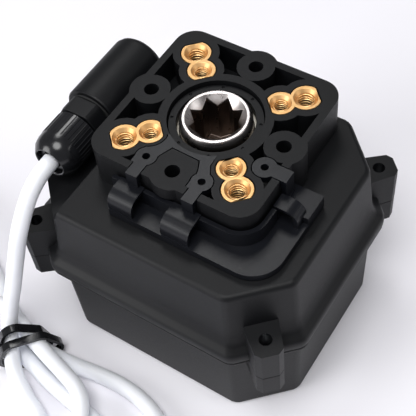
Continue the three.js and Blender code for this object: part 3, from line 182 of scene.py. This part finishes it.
def smooth_run(points_mm, between=8):
    """Metre points along a smooth centripetal curve through the route points."""
    points = [Vector(p) / 1000 for p in points_mm]
    first = points[0] * 2 - points[1]
    last = points[-1] * 2 - points[-2]
    points = [first] + points + [last]
    out = []
    for a, b, c, d in zip(points, points[1:], points[2:], points[3:]):
        t0 = 0.0
        t1 = t0 + (b - a).length ** 0.5
        t2 = t1 + (c - b).length ** 0.5
        t3 = t2 + (d - c).length ** 0.5
        for k in range(between):
            t = t1 + (t2 - t1) * k / between
            ab = a * ((t1 - t) / (t1 - t0)) + b * ((t - t0) / (t1 - t0))
            bc = b * ((t2 - t) / (t2 - t1)) + c * ((t - t1) / (t2 - t1))
            cd = c * ((t3 - t) / (t3 - t2)) + d * ((t - t2) / (t3 - t2))
            abc = ab * ((t2 - t) / (t2 - t0)) + bc * ((t - t0) / (t2 - t0))
            bcd = bc * ((t3 - t) / (t3 - t1)) + cd * ((t - t1) / (t3 - t1))
            out.append(abc * ((t2 - t) / (t2 - t1)) + bcd * ((t - t1) / (t2 - t1)))
    out.append(points[-2])
    return out


def round_wire(name, line, radius, material, ring=20):
    """A round wire as an open poly curve with closed ends."""
    curve = bpy.data.curves.new(name, "CURVE")
    curve.dimensions = "3D"
    curve.bevel_depth = radius
    curve.bevel_resolution = ring // 4 - 1
    curve.use_fill_caps = True
    spline = curve.splines.new("POLY")
    spline.points.add(len(line) - 1)
    for point, place_m in zip(spline.points, line):
        point.co = (*place_m, 1)
    spline.use_smooth = True
    curve.materials.append(material)
    wire = bpy.data.objects.new(name, curve)
    bpy.context.collection.objects.link(wire)
    return wire


# soft white sheath: faintly uneven from extrusion, slightly translucent, satin
white_sheath, tree = new_material("extruded_soft_white_pvc")
place = add(tree, "ShaderNodeTexCoord").outputs["Object"]
drift = add(tree, "ShaderNodeTexNoise", Vector=place, Scale=60.0, Detail=2.0)
shade = add(tree, "ShaderNodeMix", {"data_type": "RGBA"}, _0=drift.outputs["Fac"],
            _6=linear("ECEEF4"), _7=linear("F8FAFF"))
skin = add(tree, "ShaderNodeTexNoise", Vector=place, Scale=700.0, Detail=3.0)
sheen = add(tree, "ShaderNodeMapRange", Value=skin.outputs["Fac"], To_Min=0.34, To_Max=0.48)
relief = add(tree, "ShaderNodeBump", Height=skin.outputs["Fac"], Strength=0.12, Distance=0.0001)
surface = add(tree, "ShaderNodeBsdfPrincipled", Base_Color=shade.outputs[2], Roughness=sheen.outputs[0],
              Normal=relief.outputs[0])
surface.inputs["Subsurface Weight"].default_value = 0.08
surface.inputs["Subsurface Radius"].default_value = (0.001, 0.001, 0.0012)
surface.inputs["Subsurface Scale"].default_value = 0.5
add(tree, "ShaderNodeOutputMaterial", Surface=surface.outputs[0])

lead_line = smooth_run(LEAD_OUT_MM + coil_points() + LEAD_BACK_MM)
supply_lead = round_wire("supply_lead", lead_line, LEAD_THICK / 2, white_sheath, ring=24)
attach(supply_lead, "case")
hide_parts("lead_out", "lead_coil", "lead_back")

# ------------------------------------------------------------------ cores and ferrules
# Three PVC-insulated cores stripped back from the sheath, each fanned out a little
# and ended with a crimped tinned ferrule.
CORE_RADIUS = 0.0009
INSULATED_SHARE = 0.62  # of each core, before its ferrule
FERRULE_SLIMNESS = 0.8
CORE_RUNS_MM = {
    "brown": ("6B4226", [(-53.4, -55.1, 9.5), (-58.8, -56.2, 9.2), (-65.5, -58.6, 8.2)]),
    "blue": ("2A5FB0", [(-53.4, -53.2, 9.5), (-58.8, -52.6, 9.2), (-65.3, -50.4, 8.2)]),
    "yellow": ("9CAB2A", [(-53.4, -54.2, 7.8), (-58.8, -54.3, 7.3), (-65.2, -54.6, 6)]),
}

tinned, tree = new_material("tinned_copper_ferrule")
place = add(tree, "ShaderNodeTexCoord").outputs["Object"]
crimps = add(tree, "ShaderNodeTexNoise", Vector=place, Scale=1500.0, Detail=2.0)
sheen = add(tree, "ShaderNodeMapRange", Value=crimps.outputs["Fac"], To_Min=0.25, To_Max=0.45)
relief = add(tree, "ShaderNodeBump", Height=crimps.outputs["Fac"], Strength=0.3, Distance=0.0001)
surface = add(tree, "ShaderNodeBsdfPrincipled", Base_Color=linear("C9CBCD"), Metallic=1.0,
              Roughness=sheen.outputs[0], Normal=relief.outputs[0])
add(tree, "ShaderNodeOutputMaterial", Surface=surface.outputs[0])

core_ends = []
for number, (core, (colour, run)) in enumerate(CORE_RUNS_MM.items(), start=1):
    insulation, tree = new_material("extruded_pvc_core_" + core)
    place = add(tree, "ShaderNodeTexCoord").outputs["Object"]
    drift = add(tree, "ShaderNodeTexNoise", Vector=place, Scale=300.0)
    sheen = add(tree, "ShaderNodeMapRange", Value=drift.outputs["Fac"], To_Min=0.3, To_Max=0.42)
    surface = add(tree, "ShaderNodeBsdfPrincipled", Base_Color=linear(colour), Roughness=sheen.outputs[0])
    add(tree, "ShaderNodeOutputMaterial", Surface=surface.outputs[0])
    line = smooth_run(run)
    split = int(len(line) * INSULATED_SHARE)
    wire = round_wire("core_" + core, line[:split], CORE_RADIUS, insulation, ring=12)
    ferrule = round_wire("ferrule_" + core, line[split - 1:], CORE_RADIUS * FERRULE_SLIMNESS, tinned, ring=12)
    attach(wire, "case")
    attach(ferrule, "case")
    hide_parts(f"lead_core_{number}")
    core_ends += [wire, ferrule]


# ------------------------------------------------------------------ moulded and machined pieces
# Every hard piece has its edges broken as a mould or a tool leaves them: the packed
# solid is welded, its flat faces are made whole, and its edges get a small round.
def edged_copy(node, name, edge_mm, material, sharp=40, steps=2):
    source = frame["nodes"][node]
    mesh = source.data.copy()
    mesh.name = name
    shape = bmesh.new()
    shape.from_mesh(mesh)
    bmesh.ops.remove_doubles(shape, verts=shape.verts, dist=2e-6)
    bmesh.ops.dissolve_limit(shape, angle_limit=math.radians(0.6), verts=shape.verts, edges=shape.edges)
    shape.to_mesh(mesh)
    shape.free()
    mesh.materials.clear()
    mesh.materials.append(material)
    mesh.shade_smooth()
    piece = bpy.data.objects.new(name, mesh)
    bpy.context.collection.objects.link(piece)
    edge = piece.modifiers.new("broken_edges", "BEVEL")
    edge.width = edge_mm / 1000
    edge.segments = steps
    edge.limit_method = "ANGLE"
    edge.angle_limit = math.radians(sharp)
    edge.use_clamp_overlap = True
    shading = piece.modifiers.new("flat_faces_stay_flat", "WEIGHTED_NORMAL")
    shading.keep_sharp = True
    bpy.context.view_layer.update()
    finished = bpy.data.meshes.new_from_object(piece.evaluated_get(bpy.context.evaluated_depsgraph_get()))
    piece.modifiers.clear()
    piece.data = finished
    finished.name = name
    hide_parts(node)
    return piece


# ------------------------------------------------------------------ housing and cover
# Two injection-moulded shells in black PC/ABS with a fine spark-eroded texture,
# drafted walls and a rounded lip at the joint.
# satin black with a fine even grain; drawn at 0.45 mm because the real 0.1 mm is too fine to show
spark_black, tree = new_material("moulded_black_pc_abs_spark_texture")
place = add(tree, "ShaderNodeTexCoord").outputs["Object"]
grain = add(tree, "ShaderNodeTexNoise", Vector=place, Scale=2200.0, Detail=4.0, Roughness=0.6)
flow = add(tree, "ShaderNodeTexNoise", Vector=place, Scale=45.0, Detail=2.0)
shade = add(tree, "ShaderNodeMix", {"data_type": "RGBA"}, _0=flow.outputs["Fac"],
            _6=linear("060709"), _7=linear("0C0D10"))
sheen = add(tree, "ShaderNodeMapRange", Value=grain.outputs["Fac"], To_Min=0.42, To_Max=0.58)
relief = add(tree, "ShaderNodeBump", Height=grain.outputs["Fac"], Strength=0.22, Distance=0.00012)
surface = add(tree, "ShaderNodeBsdfPrincipled", Base_Color=shade.outputs[2], Roughness=sheen.outputs[0],
              Normal=relief.outputs[0])
surface.inputs["Specular IOR Level"].default_value = 0.27
add(tree, "ShaderNodeOutputMaterial", Surface=surface.outputs[0])

housing = edged_copy("housing", "housing_shell", 0.3, spark_black)
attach(housing, "case")
cover = edged_copy("cover", "cover_shell", 0.3, spark_black)
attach(cover, "case")
drive_ring = edged_copy("drive_ring", "drive_seal_ring", 0.1, spark_black)
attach(drive_ring, "case")

# ------------------------------------------------------------------ key holder
# One clip-on moulding in slate-grey nylon: its yoke and straps snap flush into the pad,
# and its hollow arches keep the hexagon key of the manual override.
# smooth satin, cooler and a little brighter on the edges than the case
slate_nylon, tree = new_material("moulded_slate_nylon_satin")
place = add(tree, "ShaderNodeTexCoord").outputs["Object"]
flow = add(tree, "ShaderNodeTexNoise", Vector=place, Scale=120.0, Detail=3.0)
shade = add(tree, "ShaderNodeMix", {"data_type": "RGBA"}, _0=flow.outputs["Fac"],
            _6=linear("0A0B0F"), _7=linear("12141A"))
skin = add(tree, "ShaderNodeTexNoise", Vector=place, Scale=1500.0, Detail=3.0)
sheen = add(tree, "ShaderNodeMapRange", Value=skin.outputs["Fac"], To_Min=0.3, To_Max=0.42)
relief = add(tree, "ShaderNodeBump", Height=skin.outputs["Fac"], Strength=0.12, Distance=0.0001)
surface = add(tree, "ShaderNodeBsdfPrincipled", Base_Color=shade.outputs[2], Roughness=sheen.outputs[0],
              Normal=relief.outputs[0])
surface.inputs["Specular IOR Level"].default_value = 0.26
add(tree, "ShaderNodeOutputMaterial", Surface=surface.outputs[0])
key_holder = edged_copy("key_holder", "key_holder_clip", 0.25, slate_nylon)
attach(key_holder, "case")

# ------------------------------------------------------------------ thread inserts
# Four figure-eight brass inserts moulded into the pad, each with one M6 and one M5
# thread cut into it, the faces faced off and the mouths countersunk.
# pale gold and finely matt on the faced top; down the threaded holes the gold darkens with depth as painted
# shade
FACE_Z = 0.0725
faced_brass, tree = new_material("faced_brass_cz121")
place = add(tree, "ShaderNodeTexCoord").outputs["Object"]
tool = add(tree, "ShaderNodeTexNoise", Vector=place, Scale=1800.0, Detail=4.0)
cloud = add(tree, "ShaderNodeTexNoise", Vector=place, Scale=150.0, Detail=2.0)
shade = add(tree, "ShaderNodeMix", {"data_type": "RGBA"}, _0=cloud.outputs["Fac"],
            _6=linear("DBA96A"), _7=linear("F0C892"))
sheen = add(tree, "ShaderNodeMapRange", Value=tool.outputs["Fac"], To_Min=0.4, To_Max=0.56)
relief = add(tree, "ShaderNodeBump", Height=tool.outputs["Fac"], Strength=0.18, Distance=0.0001)
height = add(tree, "ShaderNodeSeparateXYZ", Vector=place)
# painted shade: the colour darkens with depth below the face, down into the holes
painted_hole_shade = add(tree, "ShaderNodeMapRange", Value=height.outputs["Z"], From_Min=FACE_Z - 0.0008,
                From_Max=FACE_Z - 0.004)
# the face colour mixed towards dark gold by the painted hole shade
painted_shade_tone = add(tree, "ShaderNodeMix", {"data_type": "RGBA"}, _0=painted_hole_shade.outputs[0], _6=shade.outputs[2],
           _7=linear("8A5A2A"))
surface = add(tree, "ShaderNodeBsdfPrincipled", Base_Color=painted_shade_tone.outputs[2], Metallic=1.0,
              Roughness=sheen.outputs[0], Normal=relief.outputs[0])
add(tree, "ShaderNodeOutputMaterial", Surface=surface.outputs[0])

THREADS = {"m6": (0.025, 0.0025, 0.001), "m5": (0.018, 0.0021, 0.0008)}
THREAD_DEPTH = 0.0095
THREAD_START = 0.0009  # below the face, where the countersink ends
RIDGE_SHARE = 0.42  # of the pitch


def thread_tree(material):
    """A triangular ridge wound down a hole: a spiral swept with a three-sided section."""
    group = bpy.data.node_groups.new("cut_thread", "GeometryNodeTree")
    for name in ("Radius", "Pitch", "Depth", "Ridge"):
        group.interface.new_socket(name=name, in_out="INPUT", socket_type="NodeSocketFloat")
    group.interface.new_socket(name="Geometry", in_out="OUTPUT", socket_type="NodeSocketGeometry")
    given = add(group, "NodeGroupInput")
    turns = add(group, "ShaderNodeMath", {"operation": "DIVIDE"}, _0=given.outputs["Depth"],
                _1=given.outputs["Pitch"])
    drop = add(group, "ShaderNodeMath", {"operation": "MULTIPLY"}, _0=given.outputs["Depth"], _1=-1.0)
    spiral = add(group, "GeometryNodeCurveSpiral", None, Resolution=28, Rotations=turns.outputs[0],
                 Start_Radius=given.outputs["Radius"], End_Radius=given.outputs["Radius"],
                 Height=drop.outputs[0])
    section = add(group, "GeometryNodeCurvePrimitiveCircle", None, Resolution=3,
                  Radius=given.outputs["Ridge"])
    swept = add(group, "GeometryNodeCurveToMesh", None, Curve=spiral.outputs[0],
                Profile_Curve=section.outputs[0], Fill_Caps=True)
    real = add(group, "GeometryNodeRealizeInstances", None, Geometry=swept.outputs[0])
    painted = add(group, "GeometryNodeSetMaterial", None, Geometry=real.outputs[0], Material=material)
    add(group, "NodeGroupOutput", None, Geometry=painted.outputs[0])
    return group


def made_by(tree, name, inputs):
    """The plain mesh object that a Geometry Nodes tree makes with these inputs."""
    piece = bpy.data.objects.new(name, bpy.data.meshes.new(name))
    bpy.context.collection.objects.link(piece)
    maker = piece.modifiers.new("maker", "NODES")
    maker.node_group = tree
    for item in tree.interface.items_tree:
        if item.in_out == "INPUT" and item.name in inputs:
            maker[item.identifier] = inputs[item.name]
    bpy.context.view_layer.update()
    finished = bpy.data.meshes.new_from_object(piece.evaluated_get(bpy.context.evaluated_depsgraph_get()))
    piece.modifiers.clear()
    piece.data = finished
    finished.name = name
    return piece


# bright crests that the tap has burnished
cut_brass, tree = new_material("tapped_brass_thread")
place = add(tree, "ShaderNodeTexCoord").outputs["Object"]
streak = add(tree, "ShaderNodeTexNoise", Vector=place, Scale=1200.0, Detail=2.0)
shade = add(tree, "ShaderNodeMix", {"data_type": "RGBA"}, _0=streak.outputs["Fac"],
            _6=linear("F0C580"), _7=linear("FFE0AE"))
sheen = add(tree, "ShaderNodeMapRange", Value=streak.outputs["Fac"], To_Min=0.3, To_Max=0.42)
surface = add(tree, "ShaderNodeBsdfPrincipled", Base_Color=shade.outputs[2], Metallic=1.0,
              Roughness=sheen.outputs[0])
add(tree, "ShaderNodeOutputMaterial", Surface=surface.outputs[0])
cut_thread = thread_tree(cut_brass)
for number, angle in enumerate((45, 135, 225, 315), start=1):
    insert = edged_copy(f"thread_insert_{number}", f"brass_insert_{number}", 0.2, faced_brass)
    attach(insert, "case")
    for size, (distance, radius, pitch) in THREADS.items():
        thread = made_by(cut_thread, f"{size}_thread_{number}",
                         {"Radius": radius, "Pitch": pitch, "Depth": THREAD_DEPTH,
                          "Ridge": pitch * RIDGE_SHARE})
        a = math.radians(angle)
        thread.data.transform(Matrix.Translation((distance * math.cos(a), distance * math.sin(a),
                                                  FACE_Z - THREAD_START)))
        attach(thread, "case")

# ------------------------------------------------------------------ output drive
# Turned steel bush with a broached double-square socket and a 45 degree lead-in,
# standing just proud of the pad. It turns a quarter turn with the output gear.
# bright metal with fine rings from turning, drawn 0.25 mm apart so that they show;
# the socket and the side below the lead-in darken to a brown-grey with depth, as painted shade
RIM_Z = 0.0729
turned_steel, tree = new_material("turned_bright_steel")
place = add(tree, "ShaderNodeTexCoord").outputs["Object"]
flat_place = add(tree, "ShaderNodeVectorMath", {"operation": "MULTIPLY"}, _0=place, _1=(1, 1, 0))
from_axis = add(tree, "ShaderNodeVectorMath", {"operation": "LENGTH"}, _0=flat_place.outputs[0])
rings = add(tree, "ShaderNodeMath", {"operation": "MULTIPLY"}, _0=from_axis.outputs["Value"], _1=25000.0)
wave = add(tree, "ShaderNodeMath", {"operation": "SINE"}, _0=rings.outputs[0])
dull = add(tree, "ShaderNodeTexNoise", Vector=place, Scale=350.0, Detail=3.0)
sheen = add(tree, "ShaderNodeMapRange", Value=dull.outputs["Fac"], To_Min=0.2, To_Max=0.38)
shade = add(tree, "ShaderNodeMix", {"data_type": "RGBA"}, _0=dull.outputs["Fac"],
            _6=linear("B9B1AE"), _7=linear("DAD5D3"))
relief = add(tree, "ShaderNodeBump", Height=wave.outputs[0], Strength=0.12, Distance=0.00003)
height = add(tree, "ShaderNodeSeparateXYZ", Vector=place)
# painted shade: below the rim the colour darkens to brown-grey with depth into the socket
painted_socket_shade = add(tree, "ShaderNodeMapRange", Value=height.outputs["Z"], From_Min=RIM_Z - 0.0011,
                From_Max=RIM_Z - 0.0026)
# the steel colour mixed towards brown-grey by the painted socket shade
painted_shade_tone = add(tree, "ShaderNodeMix", {"data_type": "RGBA"}, _0=painted_socket_shade.outputs[0], _6=shade.outputs[2],
           _7=linear("7C7068"))
surface = add(tree, "ShaderNodeBsdfPrincipled", Base_Color=painted_shade_tone.outputs[2], Metallic=1.0,
              Roughness=sheen.outputs[0], Normal=relief.outputs[0])
add(tree, "ShaderNodeOutputMaterial", Surface=surface.outputs[0])
drive = edged_copy("output_drive", "drive_bush_steel", 0.15, turned_steel, sharp=30)
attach(drive, "drive")

# ------------------------------------------------------------------ cable gland
# M12 gland in black nylon on the case's barrel: hexagon body with an O-ring behind it,
# a ribbed cap nut with a domed glossy nose, and claws that grip the lead.
# smooth moulded nylon, glossy enough to show the lamps as small highlights
gloss_nylon, tree = new_material("moulded_black_nylon_gloss")
place = add(tree, "ShaderNodeTexCoord").outputs["Object"]
skin = add(tree, "ShaderNodeTexNoise", Vector=place, Scale=500.0, Detail=3.0)
sheen = add(tree, "ShaderNodeMapRange", Value=skin.outputs["Fac"], To_Min=0.14, To_Max=0.26)
shade = add(tree, "ShaderNodeMix", {"data_type": "RGBA"}, _0=skin.outputs["Fac"],
            _6=linear("131315"), _7=linear("1C1D20"))
relief = add(tree, "ShaderNodeBump", Height=skin.outputs["Fac"], Strength=0.06, Distance=0.0001)
surface = add(tree, "ShaderNodeBsdfPrincipled", Base_Color=shade.outputs[2], Roughness=sheen.outputs[0],
              Normal=relief.outputs[0])
add(tree, "ShaderNodeOutputMaterial", Surface=surface.outputs[0])

gland_body = edged_copy("gland_body", "gland_hexagon", 0.3, spark_black)
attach(gland_body, "case")
gland_claws = edged_copy("gland_claws", "gland_claw_ring", 0.1, gloss_nylon)
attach(gland_claws, "case")
gland_nut = edged_copy("gland_nut", "gland_cap_nut", 0.2, gloss_nylon, sharp=50)
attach(gland_nut, "nut")

GLAND_AXIS = (-0.036, 0.0635)
RIB_FROM_Y, RIB_LENGTH, RIB_RADIUS, RIB_COUNT, RIB_THICK = -0.0168, 0.0074, 0.0069, 36, 0.00022


def rib_tree(material):
    """Fine grip ribs: one rounded bar repeated round the nut."""
    group = bpy.data.node_groups.new("grip_ribs", "GeometryNodeTree")
    for name in ("Around", "Length", "Thick"):
        group.interface.new_socket(name=name, in_out="INPUT", socket_type="NodeSocketFloat")
    group.interface.new_socket(name="Count", in_out="INPUT", socket_type="NodeSocketInt")
    group.interface.new_socket(name="Geometry", in_out="OUTPUT", socket_type="NodeSocketGeometry")
    given = add(group, "NodeGroupInput")
    circle = add(group, "GeometryNodeMeshCircle", None, Vertices=given.outputs["Count"],
                 Radius=given.outputs["Around"])
    bar = add(group, "GeometryNodeMeshCylinder", None, Vertices=8, Radius=given.outputs["Thick"],
              Depth=given.outputs["Length"])
    copies = add(group, "GeometryNodeInstanceOnPoints", None, Points=circle.outputs[0],
                 Instance=bar.outputs[0])
    real = add(group, "GeometryNodeRealizeInstances", None, Geometry=copies.outputs[0])
    painted = add(group, "GeometryNodeSetMaterial", None, Geometry=real.outputs[0], Material=material)
    add(group, "NodeGroupOutput", None, Geometry=painted.outputs[0])
    return group


ribs = made_by(rib_tree(gloss_nylon), "gland_grip_ribs",
               {"Around": RIB_RADIUS, "Length": RIB_LENGTH, "Thick": RIB_THICK, "Count": RIB_COUNT})
ribs.data.transform(Matrix.Translation((GLAND_AXIS[0], RIB_FROM_Y - RIB_LENGTH / 2, GLAND_AXIS[1]))
                    @ Matrix.Rotation(math.radians(90), 4, "X"))
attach(ribs, "nut")

# ------------------------------------------------------------------ cable tie
# Plastic-covered wire tie drawn twice round the bundle, glossy black.
tie = edged_copy("cable_tie", "twist_tie", 0.25, gloss_nylon, sharp=50)
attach(tie, "case")


# ------------------------------------------------------------------ pieces inside the case
# The gear train, motor, switches and board are hidden in service and show when the
# case is opened, so each keeps its solid and takes the finish of its real material.
def simple_finish(name, dark, light, roughness, metallic=0.0, scale=400.0, bump=0.1):
    """A finish of two close colours drifting over the piece, with fine relief."""
    material, tree = new_material(name)
    place = add(tree, "ShaderNodeTexCoord").outputs["Object"]
    drift = add(tree, "ShaderNodeTexNoise", Vector=place, Scale=scale, Detail=3.0)
    shade = add(tree, "ShaderNodeMix", {"data_type": "RGBA"}, _0=drift.outputs["Fac"],
                _6=linear(dark), _7=linear(light))
    sheen = add(tree, "ShaderNodeMapRange", Value=drift.outputs["Fac"], To_Min=roughness - 0.06,
                To_Max=roughness + 0.06)
    relief = add(tree, "ShaderNodeBump", Height=drift.outputs["Fac"], Strength=bump, Distance=0.0001)
    surface = add(tree, "ShaderNodeBsdfPrincipled", Base_Color=shade.outputs[2], Metallic=metallic,
                  Roughness=sheen.outputs[0], Normal=relief.outputs[0])
    add(tree, "ShaderNodeOutputMaterial", Surface=surface.outputs[0])
    return material


FINISHES = {
    "gear_steel": simple_finish("hobbed_gear_steel_oiled", "9A9CA0", "B9BBBF", 0.34, 1.0, 900.0),
    "zinc_steel": simple_finish("zinc_plated_steel", "AEB3BB", "C9CDD2", 0.3, 1.0, 500.0),
    "natural_nylon": simple_finish("moulded_natural_nylon", "DDD6C4", "ECE7DA", 0.5, 0.0, 200.0),
    "yellow_acetal": simple_finish("moulded_yellow_acetal", "D9A818", "E8BB2A", 0.42, 0.0, 250.0),
    "rubber_black": simple_finish("moulded_epdm_rubber", "161617", "202021", 0.8, 0.0, 900.0, 0.25),
    "gloss_black": gloss_nylon,
    "board_green": simple_finish("solder_resist_green", "17492F", "22633F", 0.3, 0.0, 700.0),
    "terminal_green": simple_finish("moulded_green_polyamide", "27803F", "349552", 0.45, 0.0, 300.0),
    "blue_sleeve": simple_finish("shrunk_blue_sleeve", "1D2C52", "283A68", 0.3, 0.0, 300.0),
    "white_pvc": white_sheath,
}

# clear window moulding: polycarbonate, polished, with the faintest haze
clear_window, tree = new_material("polished_clear_polycarbonate")
place = add(tree, "ShaderNodeTexCoord").outputs["Object"]
haze = add(tree, "ShaderNodeTexNoise", Vector=place, Scale=200.0)
sheen = add(tree, "ShaderNodeMapRange", Value=haze.outputs["Fac"], To_Min=0.04, To_Max=0.1)
surface = add(tree, "ShaderNodeBsdfPrincipled", Base_Color=linear("E6EEF2"), Roughness=sheen.outputs[0],
              IOR=1.58)
surface.inputs["Transmission Weight"].default_value = 0.95
add(tree, "ShaderNodeOutputMaterial", Surface=surface.outputs[0])
FINISHES["clear_window"] = clear_window

for part in frame["record"]["subparts"]:
    finish = FINISHES.get(part["material_slot"])
    node = frame["nodes"].get(part["node"])
    if finish and node and not node.hide_render:
        node.data.materials.clear()
        node.data.materials.append(finish)
